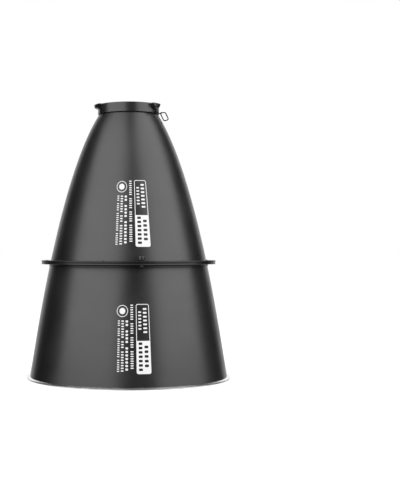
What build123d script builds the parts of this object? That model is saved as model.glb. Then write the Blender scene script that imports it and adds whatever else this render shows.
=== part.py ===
"""Long-throw bell reflector for a studio light, in two sections that twist together.

The reflector stands mouth down.  Its frame has +Z up along the bell's axis, the origin at the
centre of the mouth plane, and the front at -Y.  A bearing is an angle round +Z, counted from the
front (-Y) towards +X.  Lengths are millimetres.
"""
import os
from math import asin, cos, hypot, radians, sin, sqrt, tan

from build123d import *

os.makedirs("parts", exist_ok=True)

# ---- driving dimensions -----------------------------------------------------------------------
TOTAL_HEIGHT = 731.0
COLLAR_HEIGHT = 25.0
COLLAR_R = 82.5
COLLAR_WALL = 4.0
APERTURE_R = 68.0          # clear hole through the neck
NECK_R = 79.25             # outer radius of the bell where it meets the collar
BELL_OPENING = 101.3       # how fast the bell opens below the neck: R^2 = NECK_R^2 + ...
BELL_STRAIGHTENING = 0.0154
SHEET = 1.5                # spun sheet of both shells
MOUTH_R = 271.8            # over the bright rim
RIM_DROP = 5.0             # height of the rim's flare
JOINT_Z = 308.5            # plane where the two flanges meet
FLANGE_R = 233.8
UPPER_RING_THICKNESS = 6.0
LOWER_RING_THICKNESS = 4.0
STUD_CIRCLE_R = 221.0
STUD_BEARING = 8.4         # the stud with the knob; the other two follow at 120 degrees
TWIST = 14.0               # from locked to free, in degrees
LUG_R = 95.0               # over the bayonet lugs
LUG_BEARING = 54.0
LUG_WIDTH = 35.0           # at the top, narrowing to LUG_FOOT_WIDTH
LUG_FOOT_WIDTH = 13.0
LUG_EDGE = 11.0
LUG_DEPTH = 15.5
EYE_BEARING = 90.0
KNOB_R = 8.7
KNOB_HEIGHT = 10.7
KNOB_RISE = 1.0            # one turn of the knob on its M6 thread

# ---- dimensions that follow -------------------------------------------------------------------
BELL_TOP_Z = TOTAL_HEIGHT - COLLAR_HEIGHT
UPPER_RING_TOP_Z = JOINT_Z + UPPER_RING_THICKNESS
LOWER_RING_BASE_Z = JOINT_Z - LOWER_RING_THICKNESS
SHEET_FLANGE_R = FLANGE_R - 6.5
SEAT_GAP = 0.1             # between pieces of one section that sit against each other
SLIP = 0.4                 # round a stud in its slot

STUD_R = 3.0
STUD_HEAD_R = 4.5
STUD_HEAD_HEIGHT = 5.0
RIVET_R = 2.0
RIVET_HEAD_R = 3.6
RIVET_HEAD_HEIGHT = 1.3
RIVET_CIRCLE_R = 220.0
RIVET_BEARINGS = [STUD_BEARING + 120 * third + step for third in range(3) for step in (30, 60, 95)]
STUD_BEARINGS = [STUD_BEARING + 120 * third for third in range(3)]

COLLAR_BASE = 5.0
CLAMP_RING_THICKNESS = 4.0
CLAMP_RING_R = 75.6
SCREW_CIRCLE_R = 72.6
SCREW_R = 2.0
SCREW_HEAD_R = 3.9
SCREW_BEARINGS = [EYE_BEARING + 60 * sixth for sixth in range(6)]

EYE_THICKNESS = 2.0
EYE_WIDTH = 12.0
EYE_SLOT_WIDTH = 4.6
EYE_SLOT_DEPTH = 3.2
EYE_BAR = 2.0              # the eye's outer bar, round which the wire ring swings
PIVOT_R = 88.9             # centre of that bar
WIRE_R = 1.4
RING_CORNER_R = 2.6        # centre line of the wire round the bar
RING_TOP_R = 3.2
RING_END_R = 4.0
RING_LENGTH = 24.8         # along its inner leaning side
RING_OUTER_EXTRA = 2.5     # the outer side reaches this much further down
RING_WIDTH = 13.2          # square to its leaning sides
RING_LEAN = 25.0           # of the sides from vertical, as it hangs with its top side level

WASHER_THICKNESS = 1.2
WASHER_R = 7.6
INSERT_R = 5.5
KNOB_WELL_R = 5.3
KNOB_WELL_DEPTH = 4.0
KNURLS = 28


def bell_radius(z):
    """Outer radius of the bell at height z."""
    depth = BELL_TOP_Z - z
    return sqrt(NECK_R**2 + BELL_OPENING * depth - BELL_STRAIGHTENING * depth**2)


def bell_slope(z):
    """How the bell's outer radius changes with height at z: always negative."""
    step = 0.5
    return (bell_radius(z + step) - bell_radius(z - step)) / (2 * step)


def wall_radius(z, inset=0.0):
    """Radius, at height z, of the surface that lies `inset` mm inside the bell's outer surface."""
    slope = bell_slope(z)
    foot = z - inset * slope / hypot(1, slope)
    return bell_radius(foot) - inset / hypot(1, bell_slope(foot))


def wall_curve(bottom_z, top_z, inset, spans=8):
    """Points down the bell's wall for a spline, from top to bottom, as (radius, height)."""
    heights = [top_z + (bottom_z - top_z) * k / spans for k in range(spans + 1)]
    return [(wall_radius(z, inset), z) for z in heights]


def around(bearing):
    """The angle from +X, as PolarLocations counts it, of a bearing from the front."""
    return bearing - 90


def spot(radius, bearing, z=0.0):
    """A point at a radius and bearing."""
    angle = radians(around(bearing))
    return radius * cos(angle), radius * sin(angle), z


def at(radius, bearings, z=0.0):
    """Locations at a radius and a list of bearings, each turned to face outwards."""
    return [Location(spot(radius, b, z), (0, 0, around(b))) for b in bearings]


def finish(builder, label):
    """Label a finished piece and write it."""
    builder.part.label = label
    export_step(builder.part, f"parts/{label}.step")


# ---- extension: the wide lower section --------------------------------------------------------
RIM_TOP_Z = RIM_DROP
SHELL_FOOT_Z = RIM_TOP_Z + 0.3

with BuildPart() as extension_shell:
    with BuildSketch(Plane.XZ) as section:
        with BuildLine():
            outside = Spline(*wall_curve(SHELL_FOOT_Z, JOINT_Z - SHEET, 0))
            inside = Spline(*wall_curve(SHELL_FOOT_Z, JOINT_Z, SHEET))
            Polyline(outside @ 0, (SHEET_FLANGE_R, JOINT_Z - SHEET), (SHEET_FLANGE_R, JOINT_Z), inside @ 0)
            Line(outside @ 1, inside @ 1)
        make_face()
        fillet(section.vertices().sort_by_distance(outside @ 0)[0], 2.0)
        fillet(section.vertices().sort_by_distance(inside @ 0)[0], 2.0 + SHEET)
    revolve(axis=Axis.Z)
    for bearing in STUD_BEARINGS:
        with BuildSketch(Plane.XY.offset(JOINT_Z)):
            SlotArc(CenterArc((0, 0), STUD_CIRCLE_R, around(bearing), TWIST), 2 * (STUD_R + SLIP))
            with Locations(spot(STUD_CIRCLE_R, bearing + TWIST)[:2]):
                Circle(STUD_HEAD_R + 2 * SLIP)
        extrude(amount=-SHEET - 1, mode=Mode.SUBTRACT)
    with Locations(at(RIVET_CIRCLE_R, RIVET_BEARINGS, JOINT_Z)):
        CounterSinkHole(RIVET_R + SEAT_GAP / 2, RIVET_R + 1.0, depth=SHEET + 1, counter_sink_angle=90)
finish(extension_shell, "extension_shell")

RIM_SHEET = 2.2
RIM_EDGE = 3.0
RIM_LEG_TOP_Z = 26.0
with BuildPart() as mouth_rim_ring:
    shell_outer = wall_radius(SHELL_FOOT_Z)
    leg_inset = SHEET + SEAT_GAP
    with BuildSketch(Plane.XZ) as section:
        with BuildLine():
            leg_outside = Spline(*wall_curve(RIM_TOP_Z, RIM_LEG_TOP_Z, leg_inset, spans=3))
            leg_inside = Spline(*wall_curve(RIM_TOP_Z - RIM_SHEET, RIM_LEG_TOP_Z, leg_inset + SHEET, spans=3))
            Line(leg_outside @ 0, leg_inside @ 0)
            Polyline(
                leg_outside @ 1,
                (shell_outer + 0.2, RIM_TOP_Z),
                (MOUTH_R, RIM_EDGE),
                (MOUTH_R, 0),
                (MOUTH_R - 3.2, 0),
                leg_inside @ 1,
            )
        make_face()
        fillet(section.vertices().sort_by_distance((MOUTH_R, RIM_EDGE))[0], 0.8)
        fillet(section.vertices().sort_by_distance((MOUTH_R, 0))[0], 0.5)
        fillet(section.vertices().sort_by_distance(leg_inside @ 1)[0], 4.0)
    revolve(axis=Axis.Z)
finish(mouth_rim_ring, "mouth_rim_ring")

SKIRT_DEPTH = 6.0
SKIRT_WALL = 1.6
SKIRT_BEND = 3.0           # hollow rounding between skirt and ring
RING_SHOULDER = 1.1        # height of the lower ring's step under the joint
RING_BEVEL = 0.9           # radial depth of that step
RING_BEVEL_HEIGHT = 2.2    # below the step, where the ring widens to its full size
BEND_RELIEF = 2.4          # chamfer on a ring that clears the bend of the sheet beside it
with BuildPart() as extension_flange_ring:
    seat_z = JOINT_Z - SHEET - SEAT_GAP
    foot_z = LOWER_RING_BASE_Z - SKIRT_DEPTH
    with BuildSketch(Plane.XZ) as section:
        with BuildLine():
            Polyline(
                (wall_radius(foot_z) + SEAT_GAP, foot_z),
                (wall_radius(foot_z) + SKIRT_WALL, foot_z),
                (wall_radius(LOWER_RING_BASE_Z) + SKIRT_WALL, LOWER_RING_BASE_Z),
                (FLANGE_R, LOWER_RING_BASE_Z),
                (FLANGE_R, JOINT_Z - RING_SHOULDER - RING_BEVEL_HEIGHT),
                (FLANGE_R - RING_BEVEL, JOINT_Z - RING_SHOULDER),
                (FLANGE_R - RING_BEVEL, JOINT_Z),
                (SHEET_FLANGE_R + SEAT_GAP, JOINT_Z),
                (SHEET_FLANGE_R + SEAT_GAP, seat_z),
                (wall_radius(seat_z) + BEND_RELIEF, seat_z),
                (wall_radius(seat_z - BEND_RELIEF) + 2 * SEAT_GAP, seat_z - BEND_RELIEF),
                close=True,
            )
        make_face()
        fillet(section.vertices().sort_by_distance((FLANGE_R, LOWER_RING_BASE_Z))[0], 0.5)
        skirt_top = (wall_radius(LOWER_RING_BASE_Z) + SKIRT_WALL, LOWER_RING_BASE_Z)
        fillet(section.vertices().sort_by_distance(skirt_top)[0], SKIRT_BEND)
    revolve(axis=Axis.Z)
    for bearing in STUD_BEARINGS:
        with BuildSketch(Plane.XY.offset(JOINT_Z)):
            SlotArc(CenterArc((0, 0), STUD_CIRCLE_R, around(bearing), TWIST), 2 * (STUD_R + SLIP))
            with Locations(spot(STUD_CIRCLE_R, bearing + TWIST)[:2]):
                Circle(STUD_HEAD_R + 2 * SLIP)
        extrude(amount=-LOWER_RING_THICKNESS - 1, mode=Mode.SUBTRACT)
    with Locations(at(RIVET_CIRCLE_R, RIVET_BEARINGS, JOINT_Z)):
        Hole(RIVET_R + SEAT_GAP / 2, depth=LOWER_RING_THICKNESS)
finish(extension_flange_ring, "extension_flange_ring")


def flange_rivet(face_z, head_z):
    """One rivet on the Z axis: flush and countersunk at face_z, a low dome beyond head_z."""
    way = 1 if head_z > face_z else -1
    dome_r = (RIVET_HEAD_R**2 + RIVET_HEAD_HEIGHT**2) / (2 * RIVET_HEAD_HEIGHT)
    dome_z = head_z + way * (RIVET_HEAD_HEIGHT - dome_r)
    half = asin(RIVET_HEAD_R / dome_r) / 2
    with BuildPart() as rivet:
        with BuildSketch(Plane.XZ):
            with BuildLine():
                shank = Polyline(
                    (0, face_z),
                    (RIVET_R + 0.9, face_z),
                    (RIVET_R, face_z + way * 0.9),
                    (RIVET_R, head_z),
                    (RIVET_HEAD_R, head_z),
                )
                dome = ThreePointArc(
                    shank @ 1,
                    (dome_r * sin(half), dome_z + way * dome_r * cos(half)),
                    (0, head_z + way * RIVET_HEAD_HEIGHT),
                )
                Line(dome @ 1, (0, face_z))
            make_face()
        revolve(axis=Axis.Z)
    return rivet.part


lower_rivet = flange_rivet(JOINT_Z, LOWER_RING_BASE_Z)
with BuildPart() as extension_flange_rivets:
    with Locations(at(RIVET_CIRCLE_R, RIVET_BEARINGS)):
        add(lower_rivet)
finish(extension_flange_rivets, "extension_flange_rivets")

# ---- narrow section: the upper bell with the mount --------------------------------------------
with BuildPart() as narrow_shell:
    with BuildSketch(Plane.XZ) as section:
        with BuildLine():
            outside = Spline(*wall_curve(JOINT_Z + SHEET, BELL_TOP_Z, 0, spans=14))
            inside = Spline(*wall_curve(JOINT_Z, BELL_TOP_Z - SHEET, SHEET, spans=14))
            Polyline(outside @ 0, (APERTURE_R, BELL_TOP_Z), (APERTURE_R, BELL_TOP_Z - SHEET), inside @ 0)
            Polyline(outside @ 1, (SHEET_FLANGE_R, JOINT_Z + SHEET), (SHEET_FLANGE_R, JOINT_Z), inside @ 1)
        make_face()
        fillet(section.vertices().sort_by_distance(outside @ 1)[0], 2.0)
        fillet(section.vertices().sort_by_distance(inside @ 1)[0], 2.0 + SHEET)
        fillet(section.vertices().sort_by_distance(outside @ 0)[0], 1.0 + SHEET)
        fillet(section.vertices().sort_by_distance(inside @ 0)[0], 1.0)
    revolve(axis=Axis.Z)
    with Locations(at(STUD_CIRCLE_R, STUD_BEARINGS, JOINT_Z + SHEET)):
        Hole(STUD_R + SEAT_GAP, depth=SHEET)
    with Locations(at(RIVET_CIRCLE_R, RIVET_BEARINGS, JOINT_Z + SHEET)):
        Hole(RIVET_R + 1.0, depth=SHEET)
    with Locations(at(SCREW_CIRCLE_R, SCREW_BEARINGS, BELL_TOP_Z)):
        Hole(SCREW_R + SEAT_GAP, depth=2 * SHEET)
finish(narrow_shell, "narrow_shell")

with BuildPart() as narrow_flange_ring:
    seat_z = JOINT_Z + SHEET + SEAT_GAP
    with BuildSketch(Plane.XZ) as section:
        with BuildLine():
            Polyline(
                (SHEET_FLANGE_R + SEAT_GAP, JOINT_Z),
                (FLANGE_R, JOINT_Z),
                (FLANGE_R, UPPER_RING_TOP_Z),
                (wall_radius(UPPER_RING_TOP_Z) + 4 * SEAT_GAP, UPPER_RING_TOP_Z),
                (wall_radius(seat_z + BEND_RELIEF) + 2 * SEAT_GAP, seat_z + BEND_RELIEF),
                (wall_radius(seat_z) + BEND_RELIEF, seat_z),
                (SHEET_FLANGE_R + SEAT_GAP, seat_z),
                close=True,
            )
        make_face()
        fillet(section.vertices().sort_by_distance((FLANGE_R, UPPER_RING_TOP_Z))[0], 0.9)
        fillet(section.vertices().sort_by_distance((FLANGE_R, JOINT_Z))[0], 2.2)
    revolve(axis=Axis.Z)
    with Locations(at(STUD_CIRCLE_R, STUD_BEARINGS, UPPER_RING_TOP_Z)):
        Hole(STUD_R + SEAT_GAP, depth=UPPER_RING_THICKNESS)
    with Locations(at(RIVET_CIRCLE_R, RIVET_BEARINGS, UPPER_RING_TOP_Z)):
        Hole(RIVET_R + SEAT_GAP / 2, depth=UPPER_RING_THICKNESS)
finish(narrow_flange_ring, "narrow_flange_ring")

upper_rivet = flange_rivet(JOINT_Z, UPPER_RING_TOP_Z)
with BuildPart() as narrow_flange_rivets:
    with Locations(at(RIVET_CIRCLE_R, RIVET_BEARINGS)):
        add(upper_rivet)
finish(narrow_flange_rivets, "narrow_flange_rivets")

# ---- studs that hold the two flanges together -------------------------------------------------
HEAD_PLAY = 0.3
HEAD_UNDERSIDE_Z = LOWER_RING_BASE_Z - HEAD_PLAY
STUD_UPSET_R = STUD_R + 1.2
with BuildPart() as plain_stud:
    with BuildSketch(Plane.XZ):
        with BuildLine():
            Polyline(
                (0, HEAD_UNDERSIDE_Z - STUD_HEAD_HEIGHT + 2),
                (STUD_HEAD_R - 0.6, HEAD_UNDERSIDE_Z - STUD_HEAD_HEIGHT + 2),
                (STUD_HEAD_R, HEAD_UNDERSIDE_Z - STUD_HEAD_HEIGHT + 2.6),
                (STUD_HEAD_R, HEAD_UNDERSIDE_Z),
                (STUD_R, HEAD_UNDERSIDE_Z),
                (STUD_R, UPPER_RING_TOP_Z),
                (STUD_UPSET_R, UPPER_RING_TOP_Z),
                (STUD_UPSET_R - 0.7, UPPER_RING_TOP_Z + 0.9),
                (0, UPPER_RING_TOP_Z + 0.9),
                close=True,
            )
        make_face()
    revolve(axis=Axis.Z)

with BuildPart() as locking_studs:
    with Locations(at(STUD_CIRCLE_R, STUD_BEARINGS[1:])):
        add(plain_stud.part)
finish(locking_studs, "locking_studs")

WASHER_BASE_Z = UPPER_RING_TOP_Z
KNOB_BASE_Z = WASHER_BASE_Z + WASHER_THICKNESS
KNOB_TOP_Z = KNOB_BASE_Z + KNOB_HEIGHT
KNOB_WELL_Z = KNOB_TOP_Z - KNOB_WELL_DEPTH
CLIP_THICKNESS = 0.7
CLIP_Z = KNOB_WELL_Z + KNOB_RISE + 0.3
CLIP_GROOVE_R = 2.3
STUD_TOP_Z = CLIP_Z + CLIP_THICKNESS + 0.7
with BuildPart() as clamp_stud:
    with BuildSketch(Plane.XZ):
        with BuildLine():
            Polyline(
                (0, HEAD_UNDERSIDE_Z - STUD_HEAD_HEIGHT),
                (STUD_HEAD_R - 0.6, HEAD_UNDERSIDE_Z - STUD_HEAD_HEIGHT),
                (STUD_HEAD_R, HEAD_UNDERSIDE_Z - STUD_HEAD_HEIGHT + 0.6),
                (STUD_HEAD_R, HEAD_UNDERSIDE_Z),
                (STUD_R, HEAD_UNDERSIDE_Z),
                (STUD_R, CLIP_Z - SEAT_GAP),
                (CLIP_GROOVE_R, CLIP_Z - SEAT_GAP),
                (CLIP_GROOVE_R, CLIP_Z + CLIP_THICKNESS + SEAT_GAP),
                (STUD_R, CLIP_Z + CLIP_THICKNESS + SEAT_GAP),
                (STUD_R - 0.4, STUD_TOP_Z),
                (0, STUD_TOP_Z),
                close=True,
            )
        make_face()
    revolve(axis=Axis.Z)
clamp_stud.part.locate(Location(spot(STUD_CIRCLE_R, STUD_BEARING)))
finish(clamp_stud, "clamp_stud")

CLIP_R = 4.6
CLIP_MOUTH = 3.0
with BuildPart() as stud_clip:
    with BuildSketch(Plane.XY.offset(CLIP_Z)):
        with Locations(spot(STUD_CIRCLE_R, STUD_BEARING)[:2]):
            Circle(CLIP_R)
            Circle(CLIP_GROOVE_R + SEAT_GAP, mode=Mode.SUBTRACT)
        with Locations(spot(STUD_CIRCLE_R, STUD_BEARING)[:2]):
            Rectangle(2 * CLIP_R, CLIP_MOUTH, align=(Align.MIN, Align.CENTER), mode=Mode.SUBTRACT)
    extrude(amount=CLIP_THICKNESS)
finish(stud_clip, "stud_clip")

with BuildPart() as clamp_washer:
    with BuildSketch(Plane.XY.offset(WASHER_BASE_Z)):
        with Locations(spot(STUD_CIRCLE_R, STUD_BEARING)[:2]):
            Circle(WASHER_R)
            Circle(STUD_R + 0.35, mode=Mode.SUBTRACT)
    extrude(amount=WASHER_THICKNESS)
finish(clamp_washer, "clamp_washer")

with BuildPart() as clamp_knob:
    with BuildSketch(Plane.XZ) as section:
        with BuildLine():
            Polyline(
                (INSERT_R + SEAT_GAP / 4, KNOB_BASE_Z),
                (KNOB_R - 0.8, KNOB_BASE_Z),
                (KNOB_R, KNOB_BASE_Z + 0.8),
                (KNOB_R, KNOB_TOP_Z - 1.2),
                (KNOB_R - 1.2, KNOB_TOP_Z),
                (KNOB_WELL_R + 0.2, KNOB_TOP_Z),
                (KNOB_WELL_R + 0.2, KNOB_WELL_Z),
                (INSERT_R + SEAT_GAP / 4, KNOB_WELL_Z),
                close=True,
            )
        make_face()
    revolve(axis=Axis.Z)
    with PolarLocations(KNOB_R + 0.35, KNURLS):
        Cylinder(0.75, 2 * TOTAL_HEIGHT, mode=Mode.SUBTRACT)
clamp_knob.part.locate(Location(spot(STUD_CIRCLE_R, STUD_BEARING)))
finish(clamp_knob, "clamp_knob")

with BuildPart() as knob_insert:
    with BuildSketch(Plane.XY.offset(KNOB_BASE_Z)):
        with Locations(spot(STUD_CIRCLE_R, STUD_BEARING)[:2]):
            Circle(INSERT_R)
            Circle(STUD_R + 0.05, mode=Mode.SUBTRACT)
    extrude(amount=KNOB_WELL_Z - KNOB_BASE_Z)
finish(knob_insert, "knob_insert")

# ---- mount collar -----------------------------------------------------------------------------
with BuildPart() as bayonet_lug:
    with BuildSketch(Plane.XZ) as section:
        with BuildLine():
            Polyline(
                (COLLAR_R - 0.5, TOTAL_HEIGHT),
                (LUG_R, TOTAL_HEIGHT),
                (LUG_R, TOTAL_HEIGHT - LUG_EDGE),
                (COLLAR_R + 3.0, TOTAL_HEIGHT - LUG_DEPTH),
                (COLLAR_R - 0.5, TOTAL_HEIGHT - LUG_DEPTH),
                close=True,
            )
        make_face()
        fillet(section.vertices().sort_by_distance((LUG_R, TOTAL_HEIGHT))[0], 3.0)
        fillet(section.vertices().sort_by_distance((LUG_R, TOTAL_HEIGHT - LUG_EDGE))[0], 4.0)
    revolve(axis=Axis.Z)
    with BuildSketch(Plane.YZ) as face:
        with Locations((0, TOTAL_HEIGHT - LUG_DEPTH / 2)):
            with BuildLine():
                Polyline(
                    (-LUG_WIDTH / 2, TOTAL_HEIGHT),
                    (LUG_WIDTH / 2, TOTAL_HEIGHT),
                    (LUG_FOOT_WIDTH / 2, TOTAL_HEIGHT - LUG_DEPTH),
                    (-LUG_FOOT_WIDTH / 2, TOTAL_HEIGHT - LUG_DEPTH),
                    close=True,
                )
            make_face()
        fillet(face.vertices().group_by(Axis.Z)[-1], 2.0)
    extrude(amount=LUG_R, mode=Mode.INTERSECT)

EYE_BASE_Z = BELL_TOP_Z + COLLAR_BASE - EYE_THICKNESS
REBATE_CLEAR = 0.1
with BuildPart() as mount_collar:
    with BuildSketch(Plane.XZ) as section:
        with BuildLine():
            Polyline(
                (APERTURE_R, BELL_TOP_Z),
                (COLLAR_R, BELL_TOP_Z),
                (COLLAR_R, TOTAL_HEIGHT),
                (COLLAR_R - COLLAR_WALL, TOTAL_HEIGHT),
                (COLLAR_R - COLLAR_WALL, BELL_TOP_Z + COLLAR_BASE),
                (APERTURE_R, BELL_TOP_Z + COLLAR_BASE),
                close=True,
            )
        make_face()
        fillet(section.vertices().sort_by_distance((COLLAR_R, BELL_TOP_Z))[0], 0.6)
        chamfer(section.vertices().sort_by_distance((COLLAR_R - COLLAR_WALL, TOTAL_HEIGHT))[0], 0.8)
    revolve(axis=Axis.Z)
    with Locations(at(0, [LUG_BEARING, LUG_BEARING + 120, LUG_BEARING + 240])):
        add(bayonet_lug.part)
    with Locations(at(SCREW_CIRCLE_R, SCREW_BEARINGS, BELL_TOP_Z + COLLAR_BASE)):
        CounterSinkHole(
            SCREW_R + SEAT_GAP, SCREW_HEAD_R + SEAT_GAP, depth=2 * COLLAR_BASE, counter_sink_angle=90
        )
    with BuildSketch(Plane.XY.offset(EYE_BASE_Z - REBATE_CLEAR)):
        with Locations(spot((APERTURE_R + LUG_R) / 2, EYE_BEARING)[:2]):
            Rectangle(LUG_R - APERTURE_R + 2, EYE_WIDTH + 2 * REBATE_CLEAR)
    extrude(amount=EYE_THICKNESS + 2 * REBATE_CLEAR, mode=Mode.SUBTRACT)
finish(mount_collar, "mount_collar")

with BuildPart() as collar_clamp_ring:
    with BuildSketch(Plane.XY.offset(BELL_TOP_Z - SHEET - CLAMP_RING_THICKNESS)):
        Circle(CLAMP_RING_R)
        Circle(APERTURE_R, mode=Mode.SUBTRACT)
    extrude(amount=CLAMP_RING_THICKNESS)
    with Locations(at(SCREW_CIRCLE_R, SCREW_BEARINGS, BELL_TOP_Z - SHEET)):
        Hole(SCREW_R + SEAT_GAP / 2, depth=CLAMP_RING_THICKNESS)
finish(collar_clamp_ring, "collar_clamp_ring")

with BuildPart() as one_screw:
    head_z = BELL_TOP_Z + COLLAR_BASE
    with BuildSketch(Plane.XZ):
        with BuildLine():
            Polyline(
                (0, BELL_TOP_Z - SHEET - CLAMP_RING_THICKNESS),
                (SCREW_R, BELL_TOP_Z - SHEET - CLAMP_RING_THICKNESS),
                (SCREW_R, head_z - SCREW_HEAD_R + SCREW_R),
                (SCREW_HEAD_R, head_z),
                (0, head_z),
                close=True,
            )
        make_face()
    revolve(axis=Axis.Z)
    with BuildSketch(Plane.XY.offset(head_z)):
        RegularPolygon(1.4, 6)
    extrude(amount=-1.6, mode=Mode.SUBTRACT)

with BuildPart() as collar_screws:
    with Locations(at(SCREW_CIRCLE_R, SCREW_BEARINGS)):
        add(one_screw.part)
finish(collar_screws, "collar_screws")

# ---- safety eye and its wire ring -------------------------------------------------------------
EYE_INNER_R = APERTURE_R + 0.2
EYE_TIP_R = PIVOT_R + EYE_BAR / 2
PIVOT_Z = EYE_BASE_Z + EYE_THICKNESS / 2
with BuildPart() as safety_eye:
    with BuildSketch(Plane.XY.offset(EYE_BASE_Z)) as plate:
        with Locations(((EYE_TIP_R + EYE_INNER_R) / 2, 0)):
            Rectangle(EYE_TIP_R - EYE_INNER_R, EYE_WIDTH)
        fillet(plate.vertices().sort_by(Axis.X)[-2:], 3.0)
        with Locations((PIVOT_R - EYE_BAR / 2, 0)):
            Rectangle(EYE_SLOT_DEPTH, EYE_SLOT_WIDTH, align=(Align.MAX, Align.CENTER), mode=Mode.SUBTRACT)
    extrude(amount=EYE_THICKNESS)
    fillet(edges().filter_by(Axis.Y).sort_by_distance((PIVOT_R, 0, PIVOT_Z))[0:4], 0.8)
    with Locations((SCREW_CIRCLE_R, 0, EYE_BASE_Z + EYE_THICKNESS)):
        CounterSinkHole(
            SCREW_R + SEAT_GAP, SCREW_HEAD_R + SEAT_GAP, depth=EYE_THICKNESS, counter_sink_angle=90
        )
finish(safety_eye, "safety_eye")

with BuildPart() as safety_ring:
    lean = radians(RING_LEAN)
    corner = Vector(
        PIVOT_R - RING_CORNER_R * (1 + sin(lean)) / cos(lean), 0, PIVOT_Z + RING_CORNER_R
    )
    along = Vector(sin(lean), 0, -cos(lean))
    across = Vector(cos(lean), 0, sin(lean))
    with BuildLine() as outline:
        FilletPolyline(
            corner,
            corner + across * RING_WIDTH + along * (RING_WIDTH * tan(lean)),
            corner + across * RING_WIDTH + along * (RING_LENGTH + RING_OUTER_EXTRA),
            corner + along * RING_LENGTH,
            radius=[RING_CORNER_R, RING_TOP_R, RING_END_R, RING_END_R],
            close=True,
        )
    with BuildSketch(Plane(origin=outline.line @ 0, z_dir=outline.line % 0)):
        Circle(WIRE_R)
    sweep(path=outline.line)
finish(safety_ring, "safety_ring")
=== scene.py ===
"""Looks of the two-section bell reflector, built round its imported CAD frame.

The frame is in metres, +Z up along the bell's axis, with the front at -Y.  A bearing is an angle
round +Z, counted from the front towards +X, as in the CAD model.
"""
import math

import bmesh
import bpy
import numpy as np
from mathutils import Matrix, Vector


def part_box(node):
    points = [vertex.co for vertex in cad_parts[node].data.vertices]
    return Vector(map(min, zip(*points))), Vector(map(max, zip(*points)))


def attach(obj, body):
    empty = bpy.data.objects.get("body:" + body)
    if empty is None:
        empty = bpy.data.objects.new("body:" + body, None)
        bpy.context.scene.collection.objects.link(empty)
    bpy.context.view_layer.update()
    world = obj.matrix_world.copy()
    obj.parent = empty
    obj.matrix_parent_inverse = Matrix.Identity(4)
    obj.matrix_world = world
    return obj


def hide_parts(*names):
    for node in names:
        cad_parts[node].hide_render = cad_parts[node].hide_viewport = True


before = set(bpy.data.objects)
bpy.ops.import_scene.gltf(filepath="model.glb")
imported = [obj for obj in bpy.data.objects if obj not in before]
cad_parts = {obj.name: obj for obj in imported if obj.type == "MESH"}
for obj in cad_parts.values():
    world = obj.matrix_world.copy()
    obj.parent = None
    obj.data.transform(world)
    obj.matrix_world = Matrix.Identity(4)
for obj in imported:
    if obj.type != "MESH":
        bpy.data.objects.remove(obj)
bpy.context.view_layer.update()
MM = 0.001

# ---- places that come from the frame ----------------------------------------------------------
FOOT_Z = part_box("extension_shell")[0].z
JOINT_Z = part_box("narrow_shell")[0].z
NECK_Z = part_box("narrow_shell")[1].z
RING_TOP_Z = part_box("narrow_flange_ring")[1].z
FLANGE_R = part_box("narrow_flange_ring")[1].x
SHEET_FLANGE_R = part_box("narrow_shell")[1].x
RIM_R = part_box("mouth_rim_ring")[1].x
RIM_TOP_Z = FOOT_Z - 0.3 * MM             # the flare starts just under the bell's foot
KNOB_LOW, KNOB_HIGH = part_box("clamp_knob")
KNOB_CENTRE = (KNOB_LOW + KNOB_HIGH) / 2

# ---- sizes shared with the CAD model ----------------------------------------------------------
SHEET = 1.5 * MM
NECK_R = 79.25 * MM
BELL_OPENING = 101.3 * MM
BELL_STRAIGHTENING = 0.0154
APERTURE_R = 68 * MM
STUD_CIRCLE_R = 221 * MM
STUD_BEARING = 8.4
STUD_R = 3 * MM
TWIST = 14.0
RIVET_CIRCLE_R = 220 * MM
RIVET_BEARINGS = [STUD_BEARING + 120 * third + step for third in range(3) for step in (30, 60, 95)]
LOWER_RING_THICKNESS = 4 * MM
RING_BASE_Z = JOINT_Z - LOWER_RING_THICKNESS
SEAT_GAP = 0.1 * MM        # between pieces that sit against each other
FACE_GAP = 0.02 * MM       # between each face of the joint and the joint's plane


def bell_radius(z):
    """Outer radius of the bell at height z."""
    depth = NECK_Z - z
    return math.sqrt(NECK_R**2 + BELL_OPENING * depth - BELL_STRAIGHTENING * depth**2)


def bell_slope(z):
    """How the outer radius changes with height."""
    return (bell_radius(z + 0.5 * MM) - bell_radius(z - 0.5 * MM)) / MM


def wall_radius(z, inset=0.0):
    """Radius, at height z, of the surface `inset` inside the bell's outer surface."""
    slope = bell_slope(z)
    foot = z - inset * slope / math.hypot(1, slope)
    return bell_radius(foot) - inset / math.hypot(1, bell_slope(foot))


def spot(radius, bearing, z=0.0):
    """The point at a radius and bearing."""
    angle = math.radians(bearing)
    return Vector((radius * math.sin(angle), -radius * math.cos(angle), z))


# ---- mesh helpers -----------------------------------------------------------------------------
def new_object(name, bm, materials, smooth_angle=35):
    """An object from a bmesh, with its materials, smooth shaded up to an angle."""
    bmesh.ops.recalc_face_normals(bm, faces=bm.faces)
    mesh = bpy.data.meshes.new(name)
    bm.to_mesh(mesh)
    bm.free()
    for material in materials:
        mesh.materials.append(material)
    mesh.shade_smooth()
    mesh.set_sharp_from_angle(angle=math.radians(smooth_angle))
    obj = bpy.data.objects.new(name, mesh)
    bpy.context.scene.collection.objects.link(obj)
    return obj


def apply_modifiers(obj):
    """Turn the modified shape into the object's own mesh."""
    graph = bpy.context.evaluated_depsgraph_get()
    mesh = bpy.data.meshes.new_from_object(obj.evaluated_get(graph))
    obj.modifiers.clear()
    obj.data = mesh
    return obj


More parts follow.
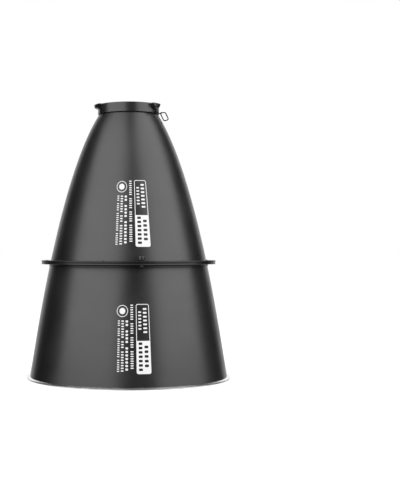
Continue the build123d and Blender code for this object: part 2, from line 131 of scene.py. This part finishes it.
def rounded(points, radii, steps=5):
    """A closed outline with its corners rounded by arcs; a radius of 0 keeps the corner."""
    outline = []
    count = len(points)
    for k in range(count):
        corner = Vector(points[k])
        before = (Vector(points[k - 1]) - corner).normalized()
        after = (Vector(points[(k + 1) % count]) - corner).normalized()
        if radii[k] == 0:
            outline.append(corner)
            continue
        half = before.angle(after) / 2
        reach = radii[k] / math.tan(half)
        centre = corner + (before + after).normalized() * radii[k] / math.sin(half)
        start = corner + before * reach - centre
        end = corner + after * reach - centre
        turn = start.angle(end)
        for step in range(steps + 1):
            share = step / steps
            arm = start * math.sin((1 - share) * turn) + end * math.sin(share * turn)
            outline.append(centre + arm / math.sin(turn))
    return outline


def lathe(name, outline, materials, segments=288, slots=None, push=None):
    """A closed (radius, height) outline turned round Z.

    slots gives each side of the outline its material; push(k, angle) moves outline point k along
    the radius, for dimples.
    """
    bm = bmesh.new()
    angles = [2 * math.pi * s / segments for s in range(segments)]
    rings = []
    for k, (radius, height) in enumerate(outline):
        ring = []
        for angle in angles:
            r = radius + (push(k, angle) if push else 0.0)
            ring.append(bm.verts.new((r * math.cos(angle), r * math.sin(angle), height)))
        rings.append(ring)
    for k in range(len(rings)):
        low, high = rings[k], rings[(k + 1) % len(rings)]
        for s in range(segments):
            t = (s + 1) % segments
            face = bm.faces.new((low[s], low[t], high[t], high[s]))
            if slots:
                face.material_index = slots[k]
    return new_object(name, bm, materials)


SAME_POINT = 0.002 * MM    # CAD mesh points nearer than this are one
FLAT_ANGLE = 0.5           # CAD mesh faces within this many degrees are one
SHARP_ANGLE = 35           # edges sharper than this, in degrees, are rounded


def softened(node, name, material, width):
    """A copy of a CAD node with its sharp edges rounded by `width`, standing for the node."""
    bm = bmesh.new()
    bm.from_mesh(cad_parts[node].data)
    bmesh.ops.remove_doubles(bm, verts=bm.verts, dist=SAME_POINT)
    flat = math.radians(FLAT_ANGLE)
    bmesh.ops.dissolve_limit(bm, angle_limit=flat, verts=bm.verts, edges=bm.edges)
    obj = new_object(name, bm, [material], smooth_angle=30)
    bevel = obj.modifiers.new("edges", "BEVEL")
    bevel.width = width
    bevel.segments = 2
    bevel.limit_method = "ANGLE"
    bevel.angle_limit = math.radians(SHARP_ANGLE)
    apply_modifiers(obj)
    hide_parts(node)
    return obj


# ---- materials --------------------------------------------------------------------------------
def base_material(name, color, roughness, metallic=0.0):
    """A Principled material, and its node tree and shader."""
    material = bpy.data.materials.new(name)
    material.use_nodes = True
    shader = material.node_tree.nodes["Principled BSDF"]
    shader.inputs["Base Color"].default_value = (*color, 1)
    shader.inputs["Roughness"].default_value = roughness
    shader.inputs["Metallic"].default_value = metallic
    return material, material.node_tree, shader


def grain(tree, scale, detail, stretch=(1, 1, 1)):
    """A noise over the object's own coordinates."""
    place = tree.nodes.new("ShaderNodeTexCoord")
    mapping = tree.nodes.new("ShaderNodeMapping")
    mapping.inputs["Scale"].default_value = stretch
    noise = tree.nodes.new("ShaderNodeTexNoise")
    noise.inputs["Scale"].default_value = scale
    noise.inputs["Detail"].default_value = detail
    tree.links.new(place.outputs["Object"], mapping.inputs["Vector"])
    tree.links.new(mapping.outputs["Vector"], noise.inputs["Vector"])
    return noise


def ramp(tree, source, low, high):
    """Spread a 0 to 1 value over low to high."""
    spread = tree.nodes.new("ShaderNodeMapRange")
    spread.inputs["From Min"].default_value = 0.3
    spread.inputs["From Max"].default_value = 0.7
    spread.inputs["To Min"].default_value = low
    spread.inputs["To Max"].default_value = high
    tree.links.new(source, spread.inputs["Value"])
    return spread.outputs["Result"]


def bump(tree, shader, source, distance):
    """Raise the surface by a noise, in metres."""
    node = tree.nodes.new("ShaderNodeBump")
    node.inputs["Strength"].default_value = 1.0
    node.inputs["Distance"].default_value = distance
    tree.links.new(source, node.inputs["Height"])
    tree.links.new(node.outputs["Normal"], shader.inputs["Normal"])


def vary_roughness(tree, shader, source, low, high):
    """Vary the roughness between two values by a 0 to 1 value."""
    tree.links.new(ramp(tree, source, low, high), shader.inputs["Roughness"])


def mix_colors(tree, shader, source, low, high):
    """Vary the base colour between two colours by a 0 to 1 value."""
    mix = tree.nodes.new("ShaderNodeMix")
    mix.data_type = "RGBA"
    mix.inputs["A"].default_value = (*low, 1)
    mix.inputs["B"].default_value = (*high, 1)
    tree.links.new(source, mix.inputs["Factor"])
    tree.links.new(mix.outputs["Result"], shader.inputs["Base Color"])


def powder_coat(name, color, roughness, gloss):
    """Satin black powder coat: fine orange peel and a slight cloudiness."""
    material, tree, shader = base_material(name, color, roughness)
    cloud = grain(tree, scale=14, detail=2).outputs["Fac"]
    mix_colors(tree, shader, cloud, [c * 0.85 for c in color], [c * 1.15 for c in color])
    vary_roughness(tree, shader, cloud, roughness - 0.03, roughness + 0.03)
    peel = grain(tree, scale=900, detail=2).outputs["Fac"]
    bump(tree, shader, peel, distance=0.012 * MM)
    shader.inputs["Specular IOR Level"].default_value = gloss
    return material


def turned_metal(name, color, roughness, line_scale, depth):
    """Bare metal with fine marks that run round the Z axis, as spinning or turning leaves them."""
    material, tree, shader = base_material(name, color, roughness, 1.0)
    lines = grain(tree, line_scale, detail=4, stretch=(0.02, 0.02, 1)).outputs["Fac"]
    vary_roughness(tree, shader, lines, roughness - 0.06, roughness + 0.08)
    mix_colors(tree, shader, lines, [c * 0.93 for c in color], color)
    bump(tree, shader, lines, depth)
    return material


def ink_material():
    """White screen print, a little uneven."""
    material, tree, shader = base_material("print_white", (0.6, 0.6, 0.6), 0.45)
    speckle = grain(tree, scale=1500, detail=2).outputs["Fac"]
    mix_colors(tree, shader, speckle, (0.56, 0.56, 0.56), (0.64, 0.64, 0.64))
    bump(tree, shader, speckle, distance=0.01 * MM)
    return material


COAT = powder_coat("bell_black", (0.0052, 0.0052, 0.0054), 0.335, 0.8)
RING_COAT = powder_coat("ring_black", (0.005, 0.005, 0.0052), 0.34, 0.5)
COLLAR_COAT = powder_coat("collar_black", (0.0052, 0.0052, 0.0054), 0.31, 0.75)
BRIGHT_INSIDE = turned_metal("bright_inside", (0.88, 0.88, 0.89), 0.24, 900, 0.01 * MM)
BRIGHT_RIM = turned_metal("bright_rim", (0.90, 0.90, 0.91), 0.24, 1600, 0.01 * MM)
# a darker, rougher metal for the bright rim's upright outer edge
DARK_EDGE_METAL = turned_metal("rim_dark_edge", (0.62, 0.62, 0.625), 0.38, 2500, 0.02 * MM)
STEEL = turned_metal("stud_steel", (0.50, 0.50, 0.51), 0.32, 2500, 0.01 * MM)
DARK_STEEL = turned_metal("rivet_dark", (0.06, 0.06, 0.06), 0.38, 2500, 0.01 * MM)
BLACK_STEEL = turned_metal("black_steel", (0.07, 0.07, 0.071), 0.34, 2500, 0.01 * MM)
# the washer is near-black to give the dark line in the gap under the knob: painted shade
WASHER_SHADE_BLACK = turned_metal("washer_painted_shade", (0.015, 0.015, 0.015), 0.45, 2500, 0.01 * MM)
BRASS = turned_metal("insert_brass", (0.72, 0.55, 0.28), 0.30, 2500, 0.01 * MM)
KNOB_BLACK = powder_coat("knob_black", (0.0052, 0.0052, 0.0054), 0.25, 0.68)
WIRE = turned_metal("wire_steel", (0.012, 0.012, 0.012), 0.5, 1800, 0.01 * MM)
INK = ink_material()

# ---- bells ------------------------------------------------------------------------------------
DIMPLE_PITCH = 15 * MM
DIMPLE_DEPTH = 0.45 * MM
BEND_R = 2 * MM
BEND_TOP = BEND_R + SHEET + 0.6 * MM      # the bend and the flange end here, hidden by the ring
WALL_ROW = 3.2 * MM                       # height of the inside's rows of faces
WALL_ROWS_OUT = 40
PLAIN_ROWS = 3                            # rows without dimples at each end of the inside
SHEET_CUT = 4 * MM                        # how far a cutter reaches above and below the joint
RING_CUT = 9 * MM
SLOT_CUT = 8 * MM
STUD_SLIP = 0.4 * MM                      # round a stud in its slot
STUD_HEAD_HOLE = 5.3 * MM
SHEET_RIVET_HOLE = 3 * MM
RING_RIVET_HOLE = 2.05 * MM


def dimples(heights, radii):
    """push() for the bright inside of a bell: staggered rows of shallow hammered dimples.

    The rows follow the wall, so each has as many dimples as fit round it.
    """
    along = [0.0]
    for k in range(1, len(heights)):
        along.append(along[-1] + math.hypot(heights[k] - heights[k - 1], radii[k] - radii[k - 1]))
    row_pitch = DIMPLE_PITCH * math.sqrt(3) / 2
    reach = DIMPLE_PITCH * 0.6

    def push(k, angle):
        nearest = reach**2
        row = round(along[k] / row_pitch)
        for near_row in (row - 1, row, row + 1):
            offset = along[k] - near_row * row_pitch
            row_radius = float(np.interp(near_row * row_pitch, along, radii))
            count = round(2 * math.pi * row_radius / DIMPLE_PITCH)
            turn = angle * count / (2 * math.pi) + 0.5 * (near_row % 2) + 0.37 * near_row
            side = (turn - round(turn)) * DIMPLE_PITCH
            nearest = min(nearest, offset**2 + side**2)
        return DIMPLE_DEPTH * (1 - nearest / reach**2)

    return push


def bell_wall(name, low_z, high_z, segments):
    """The wall of one bell from low_z to high_z: black outside, dimpled and bright inside."""
    rows_out = WALL_ROWS_OUT
    rows_in = round((high_z - low_z) / WALL_ROW)
    out_z = [low_z + (high_z - low_z) * k / rows_out for k in range(rows_out + 1)]
    in_z = [high_z + (low_z - high_z) * k / rows_in for k in range(rows_in + 1)]
    in_r = [wall_radius(z, SHEET) for z in in_z]
    outline = [(wall_radius(z), z) for z in out_z] + list(zip(in_r, in_z))
    slots = [0] * (rows_out + 1) + [1] * rows_in + [0]
    dimple = dimples(in_z, in_r)

    def push(k, angle):
        inner = k - rows_out - 1
        if inner < PLAIN_ROWS or inner > rows_in - PLAIN_ROWS:
            return 0.0
        return dimple(inner, angle)

    return lathe(name, outline, [COAT, BRIGHT_INSIDE], segments, slots, push)


def cut(obj, cutters):
    """Cut closed meshes out of an object."""
    for cutter in cutters:
        hole = obj.modifiers.new("hole", "BOOLEAN")
        hole.operation = "DIFFERENCE"
        hole.solver = "EXACT"
        hole.object = cutter
    apply_modifiers(obj)
    for cutter in cutters:
        bpy.data.objects.remove(cutter)


def round_cutter(radius, place, half_height):
    """A cylinder to cut with."""
    bm = bmesh.new()
    bmesh.ops.create_cone(
        bm, cap_ends=True, segments=32, radius1=radius, radius2=radius, depth=2 * half_height
    )
    bmesh.ops.translate(bm, verts=bm.verts, vec=place)
    return new_object("cutter", bm, [])


def stud_cutters(half_height):
    """Cutters for the three studs' holes."""
    return [
        round_cutter(
            STUD_R + SEAT_GAP, spot(STUD_CIRCLE_R, STUD_BEARING + 120 * third, JOINT_Z), half_height
        )
        for third in range(3)
    ]


def rivet_cutters(radius, half_height):
    """Cutters for the rivets' holes, the same in both flanges."""
    return [
        round_cutter(radius, spot(RIVET_CIRCLE_R, bearing, JOINT_Z), half_height)
        for bearing in RIVET_BEARINGS
    ]


def bell_flange(name, side, cutters):
    """A bell's bend and flange with its holes, over (side 1) or under (side -1) the joint."""
    end = JOINT_Z + side * BEND_TOP
    back = JOINT_Z + side * SHEET
    face = JOINT_Z + side * FACE_GAP
    points = [
        (wall_radius(end), end),
        (wall_radius(back), back),
        (SHEET_FLANGE_R, back),
        (SHEET_FLANGE_R, face),
        (wall_radius(JOINT_Z, SHEET), face),
        (wall_radius(end, SHEET), end),
    ]
    outline = rounded(points, [0, BEND_R, 0.2 * MM, 0, BEND_R + SHEET, 0])
    flange = lathe(name, outline, [COAT])
    cut(flange, cutters)
    return flange


def narrow_bell():
    """The upper bell: its wall, its flange with holes, and its neck's inward lip."""
    high = NECK_Z - 3 * MM
    wall = bell_wall("narrow_bell_wall", JOINT_Z + BEND_TOP, high, 384)
    cutters = stud_cutters(SHEET_CUT) + rivet_cutters(SHEET_RIVET_HOLE, SHEET_CUT)
    flange = bell_flange("narrow_bell_flange", 1, cutters)
    lip = lathe(
        "narrow_bell_lip",
        rounded(
            [
                (wall_radius(high), high),
                (wall_radius(NECK_Z), NECK_Z),
                (APERTURE_R, NECK_Z),
                (APERTURE_R, NECK_Z - SHEET),
                (wall_radius(NECK_Z - SHEET, SHEET), NECK_Z - SHEET),
                (wall_radius(high, SHEET), high),
            ],
            [0, 2.5 * MM, 0.3 * MM, 0.3 * MM, 0.6 * MM, 0],
        ),
        [COAT],
        segments=384,
    )
    for piece in (wall, flange, lip):
        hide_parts("narrow_shell")
        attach(piece, "narrow_section")


narrow_bell()


def slot_outline(start):
    """The arc slot that a stud at the bearing `start` slides in, with its round ends."""
    width = STUD_R + STUD_SLIP
    steps, end_steps = 14, 8
    end = start + TWIST
    outline = [spot(STUD_CIRCLE_R + width, start + TWIST * k / steps) for k in range(steps + 1)]
    for k in range(end_steps + 1):
        angle = math.radians(90 - 180 * k / end_steps)
        outline.append(
            spot(STUD_CIRCLE_R, end)
            + (spot(width, end) * math.sin(angle))
            + (spot(width, end + 90) * math.cos(angle))
        )
    for k in range(steps, -1, -1):
        outline.append(spot(STUD_CIRCLE_R - width, start + TWIST * k / steps))
    for k in range(1, end_steps):
        angle = math.radians(-90 + 180 * k / end_steps)
        outline.append(
            spot(STUD_CIRCLE_R, start)
            + (spot(width, start) * math.sin(angle))
            - (spot(width, start + 90) * math.cos(angle))
        )
    return outline


def keyhole_cutters():
    """Cutters for one flange's three keyholes: an arc slot that ends in a round hole."""
    cutters = []
    for third in range(3):
        start = STUD_BEARING + 120 * third
        bm = bmesh.new()
        foot = Vector((0, 0, JOINT_Z - SLOT_CUT))
        bm.faces.new([bm.verts.new(point + foot) for point in slot_outline(start)])
        bmesh.ops.remove_doubles(bm, verts=bm.verts, dist=0.05 * MM)
        made = bmesh.ops.extrude_face_region(bm, geom=bm.faces[:])
        top = [v for v in made["geom"] if isinstance(v, bmesh.types.BMVert)]
        bmesh.ops.translate(bm, verts=top, vec=(0, 0, 2 * SLOT_CUT))
        cutters.append(new_object("cutter", bm, []))
        head_place = spot(STUD_CIRCLE_R, start + TWIST, JOINT_Z)
        cutters.append(round_cutter(STUD_HEAD_HOLE, head_place, SLOT_CUT))
    return cutters


def extension_bell():
    """The lower bell: its wall and its flange with the keyholes."""
    wall = bell_wall("extension_bell_wall", FOOT_Z, JOINT_Z - BEND_TOP, 448)
    cutters = keyhole_cutters() + rivet_cutters(SHEET_RIVET_HOLE, SHEET_CUT)
    flange = bell_flange("extension_bell_flange", -1, cutters)
    for piece in (wall, flange):
        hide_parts("extension_shell")
        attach(piece, "extension")


extension_bell()


def mouth_rim():
    """The bright flared rim, darker and rougher on its upright outer edge, and its leg inside the
    bell.
    """
    leg_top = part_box("mouth_rim_ring")[1].z
    leg_out = SHEET + SEAT_GAP
    leg_in = leg_out + SHEET
    leg_steps, flare_steps = 6, 7
    leg = [leg_top + (RIM_TOP_Z - leg_top) * k / leg_steps for k in range(leg_steps + 1)]
    points = [(wall_radius(z, leg_out), z) for z in leg]
    radii = [0.4 * MM] + [0] * leg_steps
    root = wall_radius(FOOT_Z) + 0.2 * MM
    edge_z = 2.2 * MM                     # top of the upright outer edge and of its darker band
    for k in range(flare_steps + 1):
        share = k / flare_steps
        height = edge_z + (RIM_TOP_Z - edge_z) * (1 - share) ** 1.7
        points.append((root + (RIM_R - root) * share, height))
        radii.append(0.7 * MM if k == flare_steps else 0)
    bend_z = RIM_TOP_Z - 2.2 * MM         # where the inside turns from the leg to the flare
    foot_width = 3.2 * MM
    points += [
        (RIM_R, 0),
        (RIM_R - foot_width, 0),
        (wall_radius(bend_z, leg_in), bend_z),
        (wall_radius(leg_top, leg_in), leg_top),
    ]
    radii += [0.5 * MM, 0.6 * MM, 4 * MM, 0.4 * MM]
    outline = rounded(points, radii)
    edge_depth = 0.75 * MM
    slots = [1 if p.x > RIM_R - edge_depth and p.y < edge_z else 0 for p in outline]
    rim = lathe("mouth_rim", outline, [BRIGHT_RIM, DARK_EDGE_METAL], segments=448, slots=slots)
    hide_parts("mouth_rim_ring")
    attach(rim, "extension")


mouth_rim()


# ---- flange rings -----------------------------------------------------------------------------
RING_SEAT = SHEET + SEAT_GAP              # how far a ring's seat is from the joint, over the sheet


def ring_piece(name, points, radii_mm, cutters, node, body):
    """One of the two flange rings, with its holes."""
    outline = rounded(points, [radius * MM for radius in radii_mm])
    ring = lathe(name, outline, [RING_COAT], segments=448)
    cut(ring, cutters)
    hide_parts(node)
    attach(ring, body)


def flange_rings():
    """The upper ring over the narrow bell's flange, and the lower one with its skirt."""
    inner = SHEET_FLANGE_R + SEAT_GAP
    relief = 2.4 * MM                     # clears the bend of the bell's sheet
    seat = JOINT_Z + RING_SEAT
    points = [
        (inner, JOINT_Z + FACE_GAP),
        (FLANGE_R, JOINT_Z + FACE_GAP),
        (FLANGE_R, RING_TOP_Z),
        (wall_radius(RING_TOP_Z) + 0.4 * MM, RING_TOP_Z),
        (wall_radius(seat + relief) + 0.2 * MM, seat + relief),
        (wall_radius(seat) + relief, seat),
        (inner, seat),
    ]
    holes = stud_cutters(RING_CUT) + rivet_cutters(RING_RIVET_HOLE, RING_CUT)
    radii = [0.2, 2.2, 0.9, 0.2, 0, 0, 0]
    ring_piece("upper_flange_ring", points, radii, holes, "narrow_flange_ring", "narrow_section")

    seat = JOINT_Z - RING_SEAT
    foot = RING_BASE_Z - 6 * MM
    skirt = 1.6 * MM
    step_r = FLANGE_R - 0.9 * MM
    points = [
        (wall_radius(foot) + 0.1 * MM, foot),
        (wall_radius(foot) + skirt, foot),
        (wall_radius(RING_BASE_Z) + skirt, RING_BASE_Z),
        (FLANGE_R, RING_BASE_Z),
        (FLANGE_R, JOINT_Z - 3.3 * MM),
        (step_r, JOINT_Z - 1.1 * MM),
        (step_r, JOINT_Z - FACE_GAP),
        (inner, JOINT_Z - FACE_GAP),
        (inner, seat),
        (wall_radius(seat) + relief, seat),
        (wall_radius(seat - relief) + 0.2 * MM, seat - relief),
    ]
    holes = keyhole_cutters() + rivet_cutters(RING_RIVET_HOLE, RING_CUT)
    radii = [0.2, 0.4, 3.0, 0.5, 0.3, 0.2, 0.3, 0.1, 0, 0, 0]
    ring_piece("lower_flange_ring", points, radii, holes, "extension_flange_ring", "extension")


flange_rings()

# ---- pieces whose CAD shape stays, with softened edges ----------------------------------------
SOFTENED = [
    ("mount_collar", "narrow_section", COLLAR_COAT, "collar_coat", 0.5),
    ("collar_clamp_ring", "narrow_section", COLLAR_COAT, "collar_coat", 0.4),
    ("safety_eye", "narrow_section", COLLAR_COAT, "collar_coat", 0.25),
    # the washer's near-black colour is painted shade in the gap under the knob
    ("clamp_washer", "knob_washer", WASHER_SHADE_BLACK, "stud_steel", 0.15),
    ("clamp_stud", "narrow_section", BLACK_STEEL, "stud_steel", 0.15),
    ("locking_studs", "narrow_section", BLACK_STEEL, "stud_steel", 0.15),
    ("stud_clip", "narrow_section", STEEL, "stud_steel", 0.1),
    ("knob_insert", "clamp_knob", BRASS, "insert_brass", 0.15),
]
for node, body, material, slot_name, width_mm in SOFTENED:
    piece = softened(node, node + "_look", material, width_mm * MM)
    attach(piece, body)

for node in ("extension_flange_rivets", "narrow_flange_rivets", "collar_screws"):
    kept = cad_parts[node]
    kept.data.materials.clear()
    kept.data.materials.append(DARK_STEEL)


# ---- clamp knob -------------------------------------------------------------------------------
def clamp_knob():
    """A turned knob with a smooth side, rounded edges and a well for the stud's end."""
    radius = (KNOB_HIGH.x - KNOB_LOW.x) / 2
    low, high = KNOB_LOW.z, KNOB_HIGH.z
    bore = 5.53 * MM
    well = 5.5 * MM
    well_z = high - 4 * MM
    waist = radius - 2.8 * MM
    side_foot = low + 1.5 * MM
    points = [
        (bore, low),
        (waist, low),
        (waist, side_foot),
        (radius, side_foot),
        (radius, high),
        (well, high),
        (well, well_z),
        (bore, well_z),
    ]
    outline = rounded(points, [0, 0.3 * MM, 0.3 * MM, 0.5 * MM, 0.9 * MM, 0.4 * MM, 0, 0])
    knob = lathe("clamp_knob_body", outline, [KNOB_BLACK], segments=128)
    knob.data.transform(Matrix.Translation((KNOB_CENTRE.x, KNOB_CENTRE.y, 0)))
    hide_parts("clamp_knob")
    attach(knob, "clamp_knob")


clamp_knob()

# ---- wire ring --------------------------------------------------------------------------------
WIRE_R = 1.4 * MM
WIRE_STEP = 1.2 * MM
WELD_SWELL = 0.14          # how much the weld's bead thickens the wire
WELD_REACH = 0.9 * MM
EYE_LOW, EYE_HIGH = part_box("safety_eye")
PIVOT = Vector((EYE_HIGH.x - 1.0 * MM, 0, (EYE_LOW.z + EYE_HIGH.z) / 2))


def wire_ring():
    """The bent wire ring in the safety eye, level on top, with the bead of its butt weld.

    It is laid out flat first: x runs down its leaning sides and y across them.
    """
    lean = math.radians(25)
    bend, top_bend, end_bend = 2.6 * MM, 3.2 * MM, 4.0 * MM
    length, outer_length, width = 24.8 * MM, 27.3 * MM, 13.2 * MM
    down = Vector((math.sin(lean), 0, -math.cos(lean)))
    across = Vector((math.cos(lean), 0, math.sin(lean)))
    corner = PIVOT + Vector((-bend * (1 + math.sin(lean)) / math.cos(lean), 0, bend))
    flat = rounded(
        [(0, 0), (width * math.tan(lean), width), (outer_length, width), (length, 0)],
        [bend, top_bend, end_bend, end_bend],
        steps=10,
    )
    path = []
    for k, point in enumerate(flat):
        following = flat[(k + 1) % len(flat)]
        pieces = max(1, round((following - point).length / WIRE_STEP))
        path += [point.lerp(following, s / pieces) for s in range(pieces)]
    weld = Vector((length * 0.6, width))
    bm = bmesh.new()
    sides = 20
    rings = []
    for k, point in enumerate(path):
        forward = (path[(k + 1) % len(path)] - path[k - 1]).normalized()
        normal = Vector((-forward.y, forward.x))
        swell = 1 + WELD_SWELL * math.exp(-(((point - weld).length / WELD_REACH) ** 2))
        centre = corner + down * point.x + across * point.y
        outward = down * normal.x + across * normal.y
        ring = []
        for s in range(sides):
            angle = 2 * math.pi * s / sides
            arm = outward * math.cos(angle) + Vector((0, 1, 0)) * math.sin(angle)
            ring.append(bm.verts.new(centre + arm * WIRE_R * swell))
        rings.append(ring)
    for k in range(len(rings)):
        here, there = rings[k], rings[(k + 1) % len(rings)]
        for s in range(sides):
            t = (s + 1) % sides
            bm.faces.new((here[s], here[t], there[t], there[s]))
    ring = new_object("wire_ring", bm, [WIRE], smooth_angle=60)
    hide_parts("safety_ring")
    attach(ring, "safety_ring")


wire_ring()

# ---- print ------------------------------------------------------------------------------------
INK_THICKNESS = 0.10 * MM
INK_LIFT = 0.03 * MM
LABEL_WIDTH = 34.6         # the framed block, in millimetres
LABEL_HEIGHT = 170.0
LABEL_SPLIT = 90.0         # where the framed half ends and the solid half starts
LABEL_LINE = 1.6           # the frame's line
INK_COLUMN = 3.0           # print wider or taller than these is divided, to follow the wall
INK_ROW = 8.0
DISC_ACROSS = -35.0        # middle of the plain ring and its dot
DISC_DOWN = 17


def rectangle(left, top, right, bottom, radius):
    """A rounded rectangle outline in label millimetres: across to the right, down from the top."""
    corners = [(left, top), (right, top), (right, bottom), (left, bottom)]
    return rounded(corners, [radius] * 4, steps=6)


def circle(across, down, radius, steps=40):
    """A round outline in label millimetres."""
    turns = [2 * math.pi * k / steps for k in range(steps)]
    return [Vector((across + radius * math.cos(t), down + radius * math.sin(t))) for t in turns]


def print_shape(name, outlines, bearing, top_z, body):
    """Ink on a bell: the outlines are filled between, wrapped round the wall and given a thickness.

    The label's left edge is at `bearing`, and its sides follow the bell's own slope.
    """
    middle_r = bell_radius(top_z - LABEL_HEIGHT / 2 * MM)
    bm = bmesh.new()
    edges = []
    for outline in outlines:
        ring = [bm.verts.new((p.x, p.y, 0)) for p in outline]
        edges += [bm.edges.new((ring[k - 1], ring[k])) for k in range(len(ring))]
    bmesh.ops.triangle_fill(bm, use_beauty=True, edges=edges)
    across = [v.co.x for v in bm.verts]
    down = [v.co.y for v in bm.verts]
    for normal, places, step in (((1, 0, 0), across, INK_COLUMN), ((0, 1, 0), down, INK_ROW)):
        low, high = min(places), max(places)
        count = int((high - low) / step)
        for k in range(1, count + 1):
            place = low + (high - low) * k / (count + 1)
            point = Vector(normal) * place
            everything = bm.verts[:] + bm.edges[:] + bm.faces[:]
            bmesh.ops.bisect_plane(bm, geom=everything, plane_co=point, plane_no=normal)
    made = bmesh.ops.extrude_face_region(bm, geom=bm.faces[:])
    raised = {v for v in made["geom"] if isinstance(v, bmesh.types.BMVert)}
    for vert in bm.verts:
        lift = INK_LIFT + (INK_THICKNESS if vert in raised else 0)
        z = top_z - vert.co.y * MM
        turn = bearing + math.degrees(vert.co.x * MM / middle_r)
        vert.co = spot(wall_radius(z) + lift, turn, z)
    ink = new_object(name, bm, [INK])
    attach(ink, body)


def marks(left, right, top, groups, length, gap, space):
    """A column of small plain bars in groups, with no lettering.

    Each bar is `length` down the label; `gap` parts the bars and `space` more the groups.
    """
    shapes = []
    for group in groups:
        for _ in range(group):
            shapes.append(rectangle(left, top, right, top + length, 0.3 * length))
            top += length + gap
        top += space
    return shapes


def label(prefix, bearing, top_z, body):
    """The print on one bell: a framed box over a solid one, columns of marks, a ring and a dot."""
    right, foot, split = LABEL_WIDTH, LABEL_HEIGHT, LABEL_SPLIT
    outer = rounded([(0, 0), (right, 0), (right, foot), (0, foot)], [5, 5, 4.4, 4.4], steps=6)
    left, right = LABEL_LINE, LABEL_WIDTH - LABEL_LINE
    corners = [(left, LABEL_LINE), (right, LABEL_LINE), (right, split), (left, split)]
    window = rounded(corners, [3.4, 3.4, 0, 0], steps=6)
    openings = marks(19.6, 29.2, split + 11.5, (5,), 6.6, 4.8, 0)
    openings += marks(5.2, 14.8, split + 3.6, (7,), 6.2, 4.3, 0)
    print_shape(prefix + "_block", [outer, window] + openings, bearing, top_z, body)
    columns = [                           # left, right, top, groups, length, gap, space
        (18.2, 27.8, 10, (7,), 4.4, 5.0, 0),
        (5.8, 13.4, 18, (6,), 3.6, 4.6, 0),
        (-14.2, -7.2, 1.5, (7, 5, 5, 8), 2.7, 3.0, 5.4),
        (-26.4, -20.4, 40, (2, 4, 7), 5.0, 3.5, 7.2),
        (-37.1, -30.9, 40, (7, 3, 8), 3.1, 3.4, 5.2),
        (-46.2, -41.0, 40, (3, 4, 9, 6), 2.4, 2.9, 3.6),
    ]
    for number, column in enumerate(columns):
        print_shape(f"{prefix}_marks_{number}", marks(*column), bearing, top_z, body)
    ring = [circle(DISC_ACROSS, DISC_DOWN, 14.6), circle(DISC_ACROSS, DISC_DOWN, 13.1)]
    print_shape(prefix + "_ring", ring, bearing, top_z, body)
    dot = [circle(DISC_ACROSS, DISC_DOWN, 7.6)]
    print_shape(prefix + "_dot", dot, bearing, top_z, body)


label("narrow_print", 5.1, 520 * MM, "narrow_section")
label("extension_print", 4.45, 208.2 * MM, "extension")

# ---- floor, light and camera ------------------------------------------------------------------
MIDDLE = Vector((0, 0, 0.36))             # where the lights aim
CAMERA_DISTANCE = 2.78
CAMERA_HEIGHT = 0.342


def floor():
    """A plain pale floor, bright enough to meet the background without a line."""
    bm = bmesh.new()
    bmesh.ops.create_grid(bm, x_segments=1, y_segments=1, size=300)
    material, _, shader = base_material("floor_pale", (0.94, 0.94, 0.94), 0.9)
    shader.inputs["Specular IOR Level"].default_value = 0.1
    shader.inputs["Emission Color"].default_value = (1, 1, 1, 1)
    shader.inputs["Emission Strength"].default_value = 0.06
    ground = new_object("floor", bm, [material])
    ground.visible_glossy = False


def toward(azimuth, elevation, distance):
    """The point at an azimuth, counted like a bearing, and an elevation from the middle."""
    level = math.cos(math.radians(elevation)) * distance
    return MIDDLE + spot(level, azimuth, math.sin(math.radians(elevation)) * distance)


def softbox(name, azimuth, elevation, distance, size, radiance):
    """A large soft light aimed at the middle of the bell."""
    light = bpy.data.lights.new(name, "AREA")
    light.shape = "RECTANGLE"
    light.size, light.size_y = size
    light.energy = radiance * math.pi * size[0] * size[1]
    lamp = bpy.data.objects.new(name, light)
    lamp.location = toward(azimuth, elevation, distance)
    lamp.rotation_euler = (MIDDLE - lamp.location).to_track_quat("-Z", "Y").to_euler()
    bpy.context.scene.collection.objects.link(lamp)


def dark_card(name, azimuths, elevations, distance, shade):
    """A curved dark card that only the gloss of the object sees."""
    bm = bmesh.new()
    steps = 12
    rows = []
    for i in range(steps + 1):
        elevation = elevations[0] + (elevations[1] - elevations[0]) * i / steps
        row = []
        for j in range(steps + 1):
            azimuth = azimuths[0] + (azimuths[1] - azimuths[0]) * j / steps
            row.append(bm.verts.new(toward(azimuth, elevation, distance)))
        rows.append(row)
    for i in range(steps):
        for j in range(steps):
            bm.faces.new((rows[i][j], rows[i][j + 1], rows[i + 1][j + 1], rows[i + 1][j]))
    material, _, _ = base_material(name + "_black", (shade, shade, shade), 0.9)
    card = new_object(name, bm, [material])
    card.visible_camera = False
    card.visible_diffuse = False
    card.visible_shadow = False


floor()
world = bpy.data.worlds.new("studio")
world.use_nodes = True
background = world.node_tree.nodes["Background"]
background.inputs["Color"].default_value = (1, 1, 1, 1)
background.inputs["Strength"].default_value = 1.0
bpy.context.scene.world = world
softbox("left_softbox", -47, 34, 2.6, (4.0, 3.2), 1.19)
softbox("right_softbox", 63, 34, 2.6, (3.4, 3.2), 1.27)
dark_card("left_card", (-143, -86), (-85, 75), 3.6, 0.005)
dark_card("right_card", (98, 142), (-85, 52), 3.6, 0.005)
dark_card("front_card", (-10, 32), (-85, 37), 3.6, 0.005)
dark_card("low_card", (-180, 180), (-88, -30), 3.7, 0.02)
dark_card("high_front_card", (-8, 28), (37, 80), 3.6, 0.06)

camera_data = bpy.data.cameras.new("camera")
camera_data.lens = 74.2
camera_data.sensor_width = 36
camera_data.shift_x = 0.1429
camera = bpy.data.objects.new("camera", camera_data)
camera.location = (0, -CAMERA_DISTANCE, CAMERA_HEIGHT)
camera.rotation_euler = (math.radians(90), 0, 0)
bpy.context.scene.collection.objects.link(camera)
bpy.context.scene.camera = camera
bpy.context.scene.view_settings.view_transform = "Standard"
